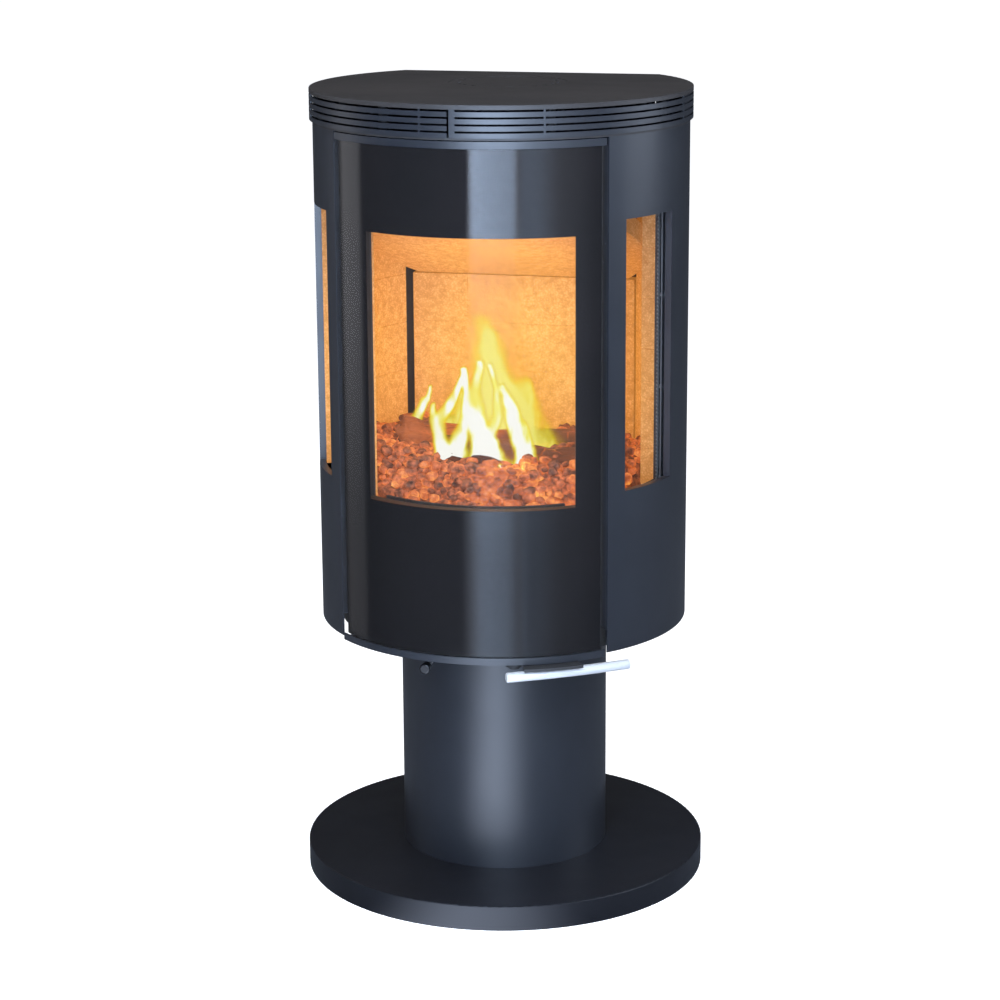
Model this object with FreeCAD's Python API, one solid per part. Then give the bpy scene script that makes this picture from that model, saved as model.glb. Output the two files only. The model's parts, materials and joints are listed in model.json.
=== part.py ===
"""Wood burning stove on a round pedestal, built as separate pieces.

The origin is on the pedestal's axis at floor level. +Z is up and the door faces -Y.
Angles round the body are in degrees, from 0 at the middle of the front, positive towards +X.
"""
import FreeCAD
import Part
import math
import os

Vector = FreeCAD.Vector

# ---------------------------------------------------------------- driving dimensions, in mm
TOTAL_HEIGHT = 1070.0
BODY_RADIUS = 247.0
TOP_RADIUS = 251.0
DOOR_RADIUS = 248.5
BACK_FACE_Y = 177.0
BASE_RADIUS = 273.0
BASE_HEIGHT = 34.0
COLUMN_RADIUS = 140.0

# Levels
PANEL_BOTTOM = 359.0
DOOR_BOTTOM = 355.0
DOOR_TOP = 1025.0
PANEL_TOP = 1026.2
DECK_TOP = 1029.2
TOP_PLATE = 6.0
HEARTH = 530.0
FIREBOX_FLOOR = 500.0
FIREBOX_TOP = 1018.0

# Sheet and plate thicknesses
PANEL = 2.0
PLATE = 3.0
GLASS = 4.0
BRICK = 25.0

# Firebox shell: the outer face of its round wall and of its flat back
SHELL_RADIUS = 221.0
SHELL_BACK_Y = 150.0
BAFFLE_BAR_Z = 915.4

# Door: half of its width, and the window inside it, which is offset away from the hinges
DOOR_HALF = 45.0
PANEL_START = 46.1
WINDOW_LEFT = -35.2
WINDOW_RIGHT = 37.6
WINDOW_BOTTOM = 558.0
WINDOW_TOP = 905.0
RAIL_HEIGHT = 9.2
GLASS_INNER = DOOR_RADIUS - GLASS
FRAME_OUTER = 243.0
FRAME_INNER = 239.0
HINGE_RADIUS = 238.0
HINGE_ANGLE = -42.4
HINGE_PIN = 3.5
HINGE_GAP = 0.05

# Side windows: opening in the outer panel, and the larger opening in the firebox shell
SIDE_OPENING = (52.5, 75.0, 571.0, 921.0)
SHELL_OPENING = (52.0, 78.4, 562.0, 930.0)

# Convection grille
RIB = 6.1
RIB_PITCH = 8.65
RIB_COUNT = 4
POST_PITCH = 55.8
POST_FIRST = -10.4
GRILLE_SEAM = (-2.1, -1.5)
BACK_CORNER = 135.2

# Flue
FLUE_RADIUS = 75.0
FLUE_Z = 912.0
TOP_OUTLET_Y = 40.0
COVER_RADIUS = 78.0

# Door handle, a round bar that follows the door's curve
HANDLE_BAR = 6.5
HANDLE_RADIUS = 262.0
HANDLE_Z = 343.0
HANDLE_ENDS = (13.9, 51.5)
HANDLE_BOW = 3.5
LEVER_Z = (350.0, 354.0)
LEVER_PIVOT = (233.0, 16.5)

# Air control, a rod that slides from front to back
ROD_X = -51.7
ROD_Z = 339.0
ROD = 3.0
KNOB_FRONT_Y = -230.0

# Flange bolts: radius of the shank and of the two bolt circles
BOLT = 4.0
FOOT_BOLTS = 118.0
HEAD_BOLTS = 152.0

# Angle from which a backing strip closes the slots of the grille, behind the sides
BACKING_START = 84.0

# Half the width of the back lining, which meets the side lining
LINING_CORNER = 156.0

# Outside air spigot in the back of the column, with the collar that seats it in the wall
SPIGOT_RADIUS = 50.0
SPIGOT_Z = 130.0
COLLAR_RADIUS = 55.0
COLLAR_START = 118.0
COLLAR_END = 143.0


# ---------------------------------------------------------------- shapes
def polar(radius, angle, z=0.0):
    """A point at a radius and an angle round the body."""
    turn = math.radians(angle)
    return Vector(radius * math.sin(turn), -radius * math.cos(turn), z)


def prism(edges, height):
    """A solid from a closed flat outline, drawn up by its height."""
    return Part.Face(Part.Wire(edges)).extrude(Vector(0, 0, height))


def arc(radius, start, end, z):
    """An arc about the body's axis."""
    middle = (start + end) / 2
    return Part.Arc(polar(radius, start, z), polar(radius, middle, z), polar(radius, end, z)).toShape()


def curved(inner, outer, start, end, bottom, top):
    """A block bent round the axis, between two radii, two angles and two levels."""
    near = Part.makeLine(polar(outer, end, bottom), polar(inner, end, bottom))
    far = Part.makeLine(polar(inner, start, bottom), polar(outer, start, bottom))
    outline = [arc(outer, start, end, bottom), near, arc(inner, end, start, bottom), far]
    return prism(outline, top - bottom)


def d_plate(radius, back, bottom, top):
    """A round plate cut off flat at the back."""
    corner = math.degrees(math.acos(-back / radius))
    left = polar(radius, -corner, bottom)
    right = polar(radius, corner, bottom)
    return prism([arc(radius, -corner, corner, bottom), Part.makeLine(right, left)], top - bottom)


def box(x, y, z):
    """A box from three (low, high) pairs."""
    return Part.makeBox(x[1] - x[0], y[1] - y[0], z[1] - z[0], Vector(x[0], y[0], z[0]))


def upright(point, radius, bottom, top):
    """A vertical cylinder over a point."""
    return Part.makeCylinder(radius, top - bottom, Vector(point.x, point.y, bottom))


def along_y(x, z, radius, front, back):
    """A cylinder that runs from front to back."""
    return Part.makeCylinder(radius, back - front, Vector(x, front, z), Vector(0, 1, 0))


def outward(angle, z, radius, start, end):
    """A cylinder that points out from the axis."""
    direction = polar(1.0, angle)
    return Part.makeCylinder(radius, end - start, polar(start, angle, z), direction)


def ring(outer, inner, bottom, top):
    """A flat ring round the axis."""
    return upright(Vector(), outer, bottom, top).cut(upright(Vector(), inner, bottom, top))


def bent_frame(inner, outer, outside, inside):
    """A curved frame: outside and inside are (start, end, bottom, top)."""
    return curved(inner, outer, *outside).cut(curved(inner - 1, outer + 1, *inside))


def fuse(shapes):
    """One solid from touching shapes, without the seams between them."""
    return shapes[0].multiFuse(shapes[1:]).removeSplitter()


def group(shapes):
    """Separate solids kept together in one node."""
    return Part.makeCompound(shapes)


def mirrored(shape):
    """The same shape on the other side of the body."""
    return shape.mirror(Vector(), Vector(1, 0, 0))


def rounded(solid, radius, chosen):
    """Round the edges that a test picks."""
    return solid.makeFillet(radius, [edge for edge in solid.Edges if chosen(edge)])


def at_level(z):
    """A test for edges that lie at one level."""
    return lambda edge: abs(edge.BoundBox.ZMin - z) < 0.01 and abs(edge.BoundBox.ZMax - z) < 0.01


# ---------------------------------------------------------------- pedestal
def base_cover():
    """The round base: a steel cap with a rolled rim, open underneath."""
    cap = upright(Vector(), BASE_RADIUS, 0, BASE_HEIGHT)
    cap = rounded(cap, 1.6, at_level(BASE_HEIGHT))
    cap = cap.cut(upright(Vector(), BASE_RADIUS - PLATE, -1, BASE_HEIGHT - PLATE))
    for place in bolt_places(FOOT_BOLTS):
        cap = cap.cut(upright(place, BOLT, 0, BASE_HEIGHT + 1))
    return cap


def base_bottom_plate():
    return upright(Vector(), BASE_RADIUS - PLATE - 0.3, 0, PLATE)


def pedestal_column():
    tube = ring(COLUMN_RADIUS, COLUMN_RADIUS - PLATE, BASE_HEIGHT, PANEL_BOTTOM - PLATE)
    tube = tube.cut(along_y(0, SPIGOT_Z, COLLAR_RADIUS, 0, COLUMN_RADIUS + 1))
    return tube.cut(along_y(ROD_X, ROD_Z, 2 * ROD, -COLUMN_RADIUS, 0))


def bolt_places(radius):
    """Six places evenly round a circle."""
    return [polar(radius, 30 + 60 * index) for index in range(6)]


def column_flanges():
    """Ring flanges welded in the foot of the column and round its head."""
    foot = ring(COLUMN_RADIUS - PLATE, 100, BASE_HEIGHT, BASE_HEIGHT + PLATE)
    head = ring(165, 128, PANEL_BOTTOM - PLATE, PANEL_BOTTOM)
    for place in bolt_places(FOOT_BOLTS):
        foot = foot.cut(upright(place, BOLT, BASE_HEIGHT - 1, BASE_HEIGHT + PLATE + 1))
    for place in bolt_places(HEAD_BOLTS):
        head = head.cut(upright(place, BOLT, PANEL_BOTTOM - PLATE - 1, PANEL_BOTTOM + 1))
    return group([foot, head])


def flange_bolts():
    """Hexagon bolts, heads up, through the two flanges."""
    bolts = []
    for circle, seat in ((FOOT_BOLTS, BASE_HEIGHT + PLATE), (HEAD_BOLTS, PANEL_BOTTOM + PLATE)):
        for place in bolt_places(circle):
            corners = [place + polar(7.0, 60 * side, seat) for side in range(7)]
            head = Part.Face(Part.makePolygon(corners)).extrude(Vector(0, 0, 5))
            bolts.append(fuse([head, upright(place, BOLT, seat - 2 * PLATE - 4, seat + 1)]))
    return group(bolts)


def outside_air_spigot():
    """The stub for a fresh air duct, let into the back of the column by its collar."""
    end = COLUMN_RADIUS + 60
    collar = along_y(0, SPIGOT_Z, COLLAR_RADIUS, COLLAR_START, COLLAR_END)
    tube = along_y(0, SPIGOT_Z, SPIGOT_RADIUS, COLLAR_START, end)
    bore = along_y(0, SPIGOT_Z, SPIGOT_RADIUS - 1.5, COLLAR_START - 8, end + 1)
    return fuse([collar, tube]).cut(bore)


# ---------------------------------------------------------------- outer body
def convection_cuts(bottom, top, inner, outer):
    """Bent slots that let warm air pass up between the panels and the firebox."""
    cuts = []
    for side in (-1, 1):
        for index in range(3):
            start = side * (50 + 27 * index)
            end = side * (73 + 27 * index)
            cuts.append(curved(inner, outer, min(start, end), max(start, end), bottom - 1, top + 1))
    return cuts


def body_floor():
    """Floor under the firebox, with the air port that the damper covers."""
    floor = d_plate(SHELL_RADIUS, SHELL_BACK_Y, PANEL_BOTTOM, PANEL_BOTTOM + PLATE)
    for place in bolt_places(HEAD_BOLTS):
        floor = floor.cut(upright(place, BOLT, PANEL_BOTTOM - 1, PANEL_BOTTOM + PLATE + 1))
    return floor.cut(box((-70, -34), (-57, -27), (PANEL_BOTTOM - 1, PANEL_BOTTOM + PLATE + 1)))


def side_panel():
    """Right outer panel, with a folded front edge, a folded jamb and a flange at the back."""
    inner = BODY_RADIUS - PANEL
    sheet = curved(inner, BODY_RADIUS, PANEL_START, 140, PANEL_BOTTOM, PANEL_TOP)
    sheet = sheet.cut(box((0, 300), (BACK_FACE_Y - PANEL - 0.6, 300), (0, TOTAL_HEIGHT)))
    start, end, bottom, top = SIDE_OPENING
    sheet = sheet.cut(curved(inner - 1, BODY_RADIUS + 1, start, end, bottom, top))
    jamb_outside = (start - 0.4, end + 0.4, bottom - 1.6, top + 1.6)
    jamb = bent_frame(inner - 7, inner, jamb_outside, SIDE_OPENING)
    fold = curved(inner - 17, inner, PANEL_START, PANEL_START + 0.5, PANEL_BOTTOM + 30, PANEL_TOP)
    flange_y = (BACK_FACE_Y - 2 * PANEL - 0.6, BACK_FACE_Y - PANEL - 0.6)
    back_flange = box((150, 172.6), flange_y, (PANEL_BOTTOM, PANEL_TOP))
    return fuse([sheet, jamb, fold, back_flange])


def back_panel():
    """Flat back cover with vent slots and a hole round the flue collar."""
    corner = math.sqrt(BODY_RADIUS ** 2 - BACK_FACE_Y ** 2)
    face = (BACK_FACE_Y - PANEL - 0.6, BACK_FACE_Y)
    panel = box((-corner, corner), face, (PANEL_BOTTOM, TOTAL_HEIGHT - TOP_PLATE))
    panel = panel.cut(along_y(0, FLUE_Z, FLUE_RADIUS + 12, face[0] - 1, face[1] + 1))
    for row in range(6):
        level = 420 + 22 * row
        for side in (-1, 1):
            low, high = sorted((side * 20, side * 120))
            panel = panel.cut(box((low, high), (face[0] - 1, face[1] + 1), (level, level + 5)))
    for x, z in back_screw_places():
        panel = panel.cut(along_y(x, z, 2.5, face[0] - 1, face[1] + 1))
    return panel


def back_screw_places():
    """Screws down both edges of the back panel."""
    return [(side * 161, 400 + 145 * row) for side in (-1, 1) for row in range(5)]


def back_panel_screws():
    screws = []
    for x, z in back_screw_places():
        head = along_y(x, z, 4.5, BACK_FACE_Y, BACK_FACE_Y + 2.6)
        head = rounded(head, 1.2, lambda edge: edge.BoundBox.YMin > BACK_FACE_Y + 2.5)
        screws.append(fuse([head, along_y(x, z, 2.5, BACK_FACE_Y - PANEL - 0.6, BACK_FACE_Y + 1)]))
    return group(screws)


def body_top_deck():
    """Plate over the panels that carries the grille; warm air comes up through its slots."""
    deck = d_plate(BODY_RADIUS + 0.7, BACK_FACE_Y - PANEL - 0.8, PANEL_TOP, DECK_TOP)
    for cut in convection_cuts(PANEL_TOP, DECK_TOP, SHELL_RADIUS + 4, BODY_RADIUS - 8):
        deck = deck.cut(cut)
    hole = upright(Vector(0, TOP_OUTLET_Y, 0), FLUE_RADIUS + 20, PANEL_TOP - 1, DECK_TOP + 1)
    return deck.cut(hole)


def grille(start, end, end_strips):
    """One bent half of the convection grille: four ribs joined by thin posts."""
    inner = TOP_RADIUS - PLATE
    top = TOTAL_HEIGHT - TOP_PLATE
    half = math.degrees(1.3 / TOP_RADIUS)
    solids = []
    for index in range(RIB_COUNT):
        bottom = DECK_TOP + RIB_PITCH * index
        solids.append(curved(inner, TOP_RADIUS, start, end, bottom, bottom + RIB))
    for angle in grille_posts(start, end):
        solids.append(curved(inner, TOP_RADIUS, angle - half, angle + half, DECK_TOP, top))
    for low, high in end_strips:
        solids.append(curved(inner, TOP_RADIUS, low, high, DECK_TOP, top))
    low, high = sorted((math.copysign(BACKING_START, start + end), start if start + end < 0 else end))
    solids.append(curved(inner - 1.5, inner + 0.5, low, high, DECK_TOP, top))
    return fuse(solids)


def grille_posts(start, end):
    """Evenly spaced posts either side of the seam."""
    right = [25.6 + POST_PITCH * step for step in range(3)]
    left = [POST_FIRST - POST_PITCH * step for step in range(3)]
    return [angle for angle in left + right if start + 2 < angle < end - 2]


def top_grille_left():
    return grille(-BACK_CORNER, GRILLE_SEAM[0], [(-BACK_CORNER, -BACK_CORNER + 1.7)])


def top_grille_right():
    strips = [(GRILLE_SEAM[1], GRILLE_SEAM[1] + 1.7), (BACK_CORNER - 1.7, BACK_CORNER)]
    return grille(GRILLE_SEAM[1], BACK_CORNER, strips)


def top_plate():
    """The stove's top, with a round opening for a flue pipe."""
    plate = d_plate(TOP_RADIUS, BACK_FACE_Y, TOTAL_HEIGHT - TOP_PLATE, TOTAL_HEIGHT)
    plate = rounded(plate, 0.8, at_level(TOTAL_HEIGHT))
    centre = Vector(0, TOP_OUTLET_Y, 0)
    return plate.cut(upright(centre, COVER_RADIUS + 0.4, TOTAL_HEIGHT - TOP_PLATE - 1, TOTAL_HEIGHT + 1))


def top_cover_ring():
    """Seat under the top plate that the flue cover drops onto."""
    centre = Vector(0, TOP_OUTLET_Y, 0)
    low = TOTAL_HEIGHT - TOP_PLATE - PLATE
    outer = upright(centre, COVER_RADIUS + 10, low, low + PLATE)
    return outer.cut(upright(centre, COVER_RADIUS - 9, low - 1, low + PLATE + 1))


def flue_cover():
    """Lift-out disc in the top plate, with a ring of short vent slots."""
    centre = Vector(0, TOP_OUTLET_Y, 0)
    disc = upright(centre, COVER_RADIUS, TOTAL_HEIGHT - TOP_PLATE, TOTAL_HEIGHT - 0.3)
    for index in range(24):
        slot = box((-4.5, 4.5), (-67.5, -64.5), (TOTAL_HEIGHT - TOP_PLATE - 1, TOTAL_HEIGHT + 1))
        slot.rotate(Vector(), Vector(0, 0, 1), 15 * index)
        slot.translate(centre)
        disc = disc.cut(slot)
    return disc


def top_plate_posts():
    """Spacer tubes that carry the top plate on the deck."""
    places = [polar(215, angle) for angle in (-125, -90, -30, 30, 90, 125)]
    return group([upright(place, 6, DECK_TOP, TOTAL_HEIGHT - TOP_PLATE) for place in places])


def panel_brackets():
    """Radial plates that hold the outer panels off the firebox."""
    solids = []
    for level in (400, 950):
        for angle in (86, 112):
            bracket = curved(SHELL_RADIUS, BODY_RADIUS - PANEL, angle, angle + 0.8, level, level + 40)
            solids += [bracket, mirrored(bracket)]
    return group(solids)


# ---------------------------------------------------------------- firebox
def firebox_shell():
    """Round steel wall with a flat back, open at the front, with two side windows."""
    height = (PANEL_BOTTOM + PLATE, FIREBOX_TOP)
    shell = d_plate(SHELL_RADIUS, SHELL_BACK_Y, *height)
    shell = shell.cut(d_plate(SHELL_RADIUS - PLATE, SHELL_BACK_Y - PLATE, *height))
    shell = shell.cut(curved(SHELL_RADIUS - 40, SHELL_RADIUS + 1, -44.6, 44.6, *height))
    window = curved(SHELL_RADIUS - PLATE - 1, SHELL_RADIUS + 1, *SHELL_OPENING)
    shell = shell.cut(window).cut(mirrored(window))
    outlet = along_y(0, FLUE_Z, FLUE_RADIUS - PLATE, SHELL_BACK_Y - PLATE - 1, SHELL_BACK_Y + 1)
    return shell.cut(outlet)


def firebox_front_frame():
    """Bent plate that the door seals on, with the fire opening and the ash opening."""
    face = (SHELL_RADIUS - PLATE, SHELL_RADIUS)
    frame = curved(*face, -44.6, 44.6, PANEL_BOTTOM + PLATE, FIREBOX_TOP)
    fire = curved(face[0] - 1, face[1] + 1, -36.2, 38.6, HEARTH + 18, WINDOW_TOP + 13)
    ash = curved(face[0] - 1, face[1] + 1, -28, 28, PANEL_BOTTOM + 8, FIREBOX_FLOOR - 18)
    return frame.cut(fire).cut(ash)


def firebox_floor():
    """Steel shelf under the hearth, open under the grate."""
    shelf = d_plate(SHELL_RADIUS - PLATE, SHELL_BACK_Y - PLATE, FIREBOX_FLOOR, FIREBOX_FLOOR + PLATE)
    return shelf.cut(box((-85, 85), (-65, 45), (FIREBOX_FLOOR - 1, FIREBOX_FLOOR + PLATE + 1)))


def firebox_top():
    """Steel roof of the smoke chamber, with the unused top outlet."""
    roof = d_plate(SHELL_RADIUS, SHELL_BACK_Y, FIREBOX_TOP, FIREBOX_TOP + PLATE)
    centre = Vector(0, TOP_OUTLET_Y, 0)
    roof = roof.cut(upright(centre, FLUE_RADIUS - PLATE, FIREBOX_TOP - 1, FIREBOX_TOP + PLATE + 1))
    for place in blanking_bolt_places():
        roof = roof.cut(upright(place, 3.0, FIREBOX_TOP - 1, FIREBOX_TOP + PLATE + 1))
    return roof


def blanking_bolt_places():
    """Four bolts round the top outlet."""
    return [Vector(0, TOP_OUTLET_Y, 0) + polar(83, 45 + 90 * index) for index in range(4)]


def flue_blanking_plate():
    """Disc bolted over the top outlet while the rear one is in use."""
    low = FIREBOX_TOP + PLATE
    disc = upright(Vector(0, TOP_OUTLET_Y, 0), FLUE_RADIUS + 17, low, low + PLATE)
    for place in blanking_bolt_places():
        disc = disc.cut(upright(place, 3.0, low - 1, low + PLATE + 1))
    return disc


def blanking_plate_bolts():
    low = FIREBOX_TOP + 2 * PLATE
    bolts = []
    for place in blanking_bolt_places():
        head = upright(place, 5, low, low + 3.5)
        bolts.append(fuse([head, upright(place, 3.0, FIREBOX_TOP - 4, low + 1)]))
    return group(bolts)


def flue_collar():
    """Rear flue spigot on a bolted flange."""
    back = SHELL_BACK_Y
    pipe = along_y(0, FLUE_Z, FLUE_RADIUS, back, back + 85)
    plate = along_y(0, FLUE_Z, FLUE_RADIUS + 10, back, back + PLATE)
    bore = along_y(0, FLUE_Z, FLUE_RADIUS - PLATE, back - 1, back + 86)
    return fuse([pipe, plate]).cut(bore)


def side_glass_parts(start, end, bottom, top):
    """Angles and levels set out from the shell's window opening."""
    opening = SHELL_OPENING
    return (opening[0] - start, opening[1] + end, opening[2] - bottom, opening[3] + top)


def side_glass_gasket():
    outside = side_glass_parts(1.5, 1.6, 6, 6)
    return bent_frame(SHELL_RADIUS, SHELL_RADIUS + 1.5, outside, SHELL_OPENING)


def side_glass():
    outside = side_glass_parts(1.7, 1.8, 7, 7)
    return curved(SHELL_RADIUS + 1.5, SHELL_RADIUS + 1.5 + GLASS, *outside)


def side_clamp():
    """Frame that presses the side glass onto the firebox, with screw holes down both edges."""
    face = SHELL_RADIUS + 1.5 + GLASS
    clamp = bent_frame(face, face + PANEL, side_glass_parts(3.8, 5.2, 17, 17), SHELL_OPENING)
    for angle, level in side_screw_places():
        clamp = clamp.cut(outward(angle, level, 2.5, face - 1, face + PANEL + 1))
    return clamp


def side_screw_places():
    """Screws in front of and behind each side glass."""
    rows = [SHELL_OPENING[2] + 122 * step for step in range(4)]
    return [(angle, level) for angle in (49.1, 82.0) for level in rows]


def side_screws():
    face = SHELL_RADIUS + 1.5 + GLASS + PANEL
    screws = []
    for angle, level in side_screw_places():
        head = outward(angle, level, 4.2, face, face + 2.4)
        screws.append(fuse([head, outward(angle, level, 2.5, SHELL_RADIUS, face + 1)]))
    return screws


def side_bricks():
    """Right side lining: bonded courses behind the window, and a pillar in front of it."""
    outer = SHELL_RADIUS - PLATE - 0.5
    solids = []
    for course in range(6):
        bottom = HEARTH + 67 * course
        joint = 104 if course % 2 else 97
        solids.append(curved(outer - BRICK, outer, 84.5, joint - 0.1, bottom, bottom + 66.2))
        solids.append(curved(outer - BRICK, outer, joint + 0.1, 123, bottom, bottom + 66.2))
        pillar_top = min(bottom + 66.2, BAFFLE_BAR_Z - 6.2)
        solids.append(curved(outer - 14, outer, 40.6, 50.6, bottom, pillar_top))
    return group(solids)


def back_firebricks():
    """Back lining of four bonded courses, whose top carries the back of the baffle."""
    back = SHELL_BACK_Y - PLATE - 0.5
    joints = ((-LINING_CORNER, 0, LINING_CORNER), (-LINING_CORNER, -78, 78, LINING_CORNER))
    solids = []
    for course in range(4):
        bottom = HEARTH + 67 * course
        edges = joints[course % 2]
        for low, high in zip(edges, edges[1:]):
            solids.append(box((low + 0.4, high - 0.4), (back - BRICK, back), (bottom, bottom + 66.2)))
    return group(solids)


def hearth_bricks():
    """Hearth slab in four pieces round the grate."""
    bottom = FIREBOX_FLOOR + PLATE
    slab = d_plate(SHELL_RADIUS - PLATE - 0.6, SHELL_BACK_Y - PLATE - 0.6, bottom, HEARTH - 0.2)
    slab = slab.cut(box((-107, 107), (-87, 67), (bottom - 1, HEARTH)))
    levels = (bottom - 1, HEARTH)
    joint = 0.5
    pieces = [
        box((-300, -107 - joint), (-300, 300), levels),
        box((107 + joint, 300), (-300, 300), levels),
        box((-107 + joint, 107 - joint), (-300, -87), levels),
        box((-107 + joint, 107 - joint), (67, 300), levels),
    ]
    return group([slab.common(piece) for piece in pieces])


def grate():
    """Cast grate with two rows of slots, on the edge of the floor opening."""
    low = FIREBOX_FLOOR + PLATE
    plate = box((-105, 105), (-85, 65), (low, low + 14))
    for index in range(11):
        x = -75 + 15 * index
        for y in (-58, 4):
            plate = plate.cut(box((x - 3.5, x + 3.5), (y, y + 50), (low - 1, low + 15)))
    return plate


def log_guard():
    """Low bent bar that keeps the fuel off the door glass."""
    return curved(206, 210, -33, 35.5, HEARTH, HEARTH + 25)


def baffle_plate():
    """Sloping throat plate: its back edge rests on the back lining, its front edge is higher."""
    profile = [(121, 799), (121, 826), (-140, 957), (-140, 930)]
    corners = [Vector(-200, y, z) for y, z in profile + profile[:1]]
    slab = Part.Face(Part.makePolygon(corners)).extrude(Vector(400, 0, 0))
    return slab.common(upright(Vector(), 190.5, 700, 1000))


def baffle_bar():
    """Round bar under the front of the baffle, laid across the tops of the brick pillars."""
    reach = math.sqrt((SHELL_RADIUS - PLATE) ** 2 - 125 ** 2) - 3
    return Part.makeCylinder(6, 2 * reach, Vector(-reach, -125, BAFFLE_BAR_Z), Vector(1, 0, 0))


def ash_pan():
    """Folded tray under the grate, with a strap handle and two skids that clear the bolt heads."""
    floor = PANEL_BOTTOM + PLATE
    low = floor + 6.5
    tray = box((-92, 92), (-188, 70), (low, low + 88))
    tray = tray.cut(box((-90.5, 90.5), (-186.5, 68.5), (low + 1.5, low + 89)))
    strap = box((-35, 35), (-198, -188), (low + 50, low + 66))
    strap = strap.cut(box((-31, 31), (-194, -187.9), (low + 49, low + 67)))
    skid = box((40, 52), (-180, 60), (floor, low))
    return fuse([tray, strap, skid, mirrored(skid)])


# ---------------------------------------------------------------- fuel
def log(length, radius, place, heading, tilt):
    """One log: a round billet with one split face, laid by its heading and tilt."""
    billet = Part.makeCylinder(radius, length, Vector(-length / 2, 0, 0), Vector(1, 0, 0))
    billet = billet.cut(box((-length, length), (-radius, radius), (-radius - 1, -0.62 * radius)))
    billet.rotate(Vector(), Vector(0, 1, 0), -tilt)
    billet.rotate(Vector(), Vector(0, 0, 1), heading)
    billet.translate(place)
    return billet


def logs():
    """Two logs side by side on the embers and a third across them."""
    return group([
        log(260, 31, Vector(-8, -58, HEARTH + 33), 6, 0),
        log(250, 29, Vector(6, 28, HEARTH + 32), -9, 0),
        log(215, 26, Vector(2, -14, HEARTH + 74), 12, 3),
    ])


def ember_bed():
    """Glowing embers over the grate and the hearth round it."""
    top = HEARTH + 12
    bed = upright(Vector(0, -10, 0), 150, HEARTH, top)
    bed = bed.fuse(box((-104, 104), (-84, 64), (FIREBOX_FLOOR + PLATE + 14.3, HEARTH + 1)))
    return bed.common(d_plate(180, 118, 500, 600)).removeSplitter()


# ---------------------------------------------------------------- door
def door_frame():
    """Bent steel frame behind the glass; flanges round the window turn inwards."""
    levels = (DOOR_BOTTOM + RAIL_HEIGHT + 0.3, DOOR_TOP - RAIL_HEIGHT - 0.3)
    window = (WINDOW_LEFT, WINDOW_RIGHT, WINDOW_BOTTOM - 2, WINDOW_TOP + 2)
    outside = (window[0] - 0.4, window[1] + 0.4, window[2] - 1.6, window[3] + 1.6)
    plate = bent_frame(FRAME_INNER, FRAME_OUTER, (-44.6, 44.6, *levels), window)
    flanges = bent_frame(224, FRAME_INNER, outside, window)
    for low, high in hinge_levels():
        plate = plate.cut(curved(FRAME_INNER - 1, FRAME_OUTER + 1, -45, -40.9, low - 3, high + 3))
    return fuse([plate, flanges])


def hinge_levels():
    """Bottom and top of the two hinge blocks."""
    return (366.0, 386.0), (994.0, 1014.0)


def door_rail(level, lip_low):
    """Bent rail along the door's edge: a lip flush with the glass, a shelf and a web."""
    low, high = lip_low, lip_low + RAIL_HEIGHT
    lip = curved(246.5, DOOR_RADIUS, -DOOR_HALF, DOOR_HALF, low, high)
    shelf = curved(226, 246.5, -44.6, 44.6, level, level + PANEL)
    web = curved(FRAME_INNER, FRAME_OUTER - 0.1, -38.5, 44.6, low, high)
    return fuse([lip, shelf, web])


def door_top_rail():
    return door_rail(DOOR_TOP - PANEL, DOOR_TOP - RAIL_HEIGHT)


def door_bottom_rail():
    """The lower rail has the hole for the handle's pivot."""
    rail = door_rail(DOOR_BOTTOM, DOOR_BOTTOM)
    return rail.cut(upright(polar(*LEVER_PIVOT), 4.0, DOOR_BOTTOM - 1, DOOR_BOTTOM + PANEL + 1))


def door_glass():
    """Curved ceramic glass over the whole height of the door."""
    low = DOOR_BOTTOM + RAIL_HEIGHT + 0.3
    return curved(GLASS_INNER, DOOR_RADIUS, -DOOR_HALF, DOOR_HALF, low, DOOR_TOP - RAIL_HEIGHT - 0.3)


def door_glass_gasket():
    """Flat tape between the glass and the frame."""
    inside = (WINDOW_LEFT - 0.6, WINDOW_RIGHT + 0.6, WINDOW_BOTTOM - 4, WINDOW_TOP + 4)
    outside = (inside[0] - 2.4, inside[1] + 2.4, inside[2] - 10, inside[3] + 10)
    return bent_frame(FRAME_OUTER, GLASS_INNER, outside, inside)


def seal_track(grow):
    """Outline of the rope seal, grown by an angle and by the same width in height."""
    rise = grow * 4.0
    return (-40.2 - grow, 43.4 + grow, 524 - rise, 942 + rise)


def door_seal_channel():
    """Bent channel on the back of the frame that holds the rope seal."""
    legs_out = bent_frame(225, FRAME_INNER, seal_track(0.4), seal_track(0.05))
    legs_in = bent_frame(225, FRAME_INNER, seal_track(-2.45), seal_track(-2.8))
    web = bent_frame(231.2, 232.7, seal_track(0.4), seal_track(-2.8))
    return fuse([legs_out, legs_in, web])


def door_seal_rope():
    """Rope that closes on the firebox front when the door is shut."""
    return bent_frame(SHELL_RADIUS + 0.4, 231.2, seal_track(0), seal_track(-2.4))


def hinge_blocks():
    """Blocks in the door's corners, bored for the hinge pins."""
    solids = []
    pivot = polar(HINGE_RADIUS, HINGE_ANGLE)
    for (low, high), bore in zip(hinge_levels(), ((365.0, 384.5), (995.5, 1015.0))):
        block = curved(229, FRAME_OUTER, -44.4, -41.0, low, high)
        solids.append(block.cut(upright(pivot, HINGE_PIN + HINGE_GAP, *bore)))
    return group(solids)


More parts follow.
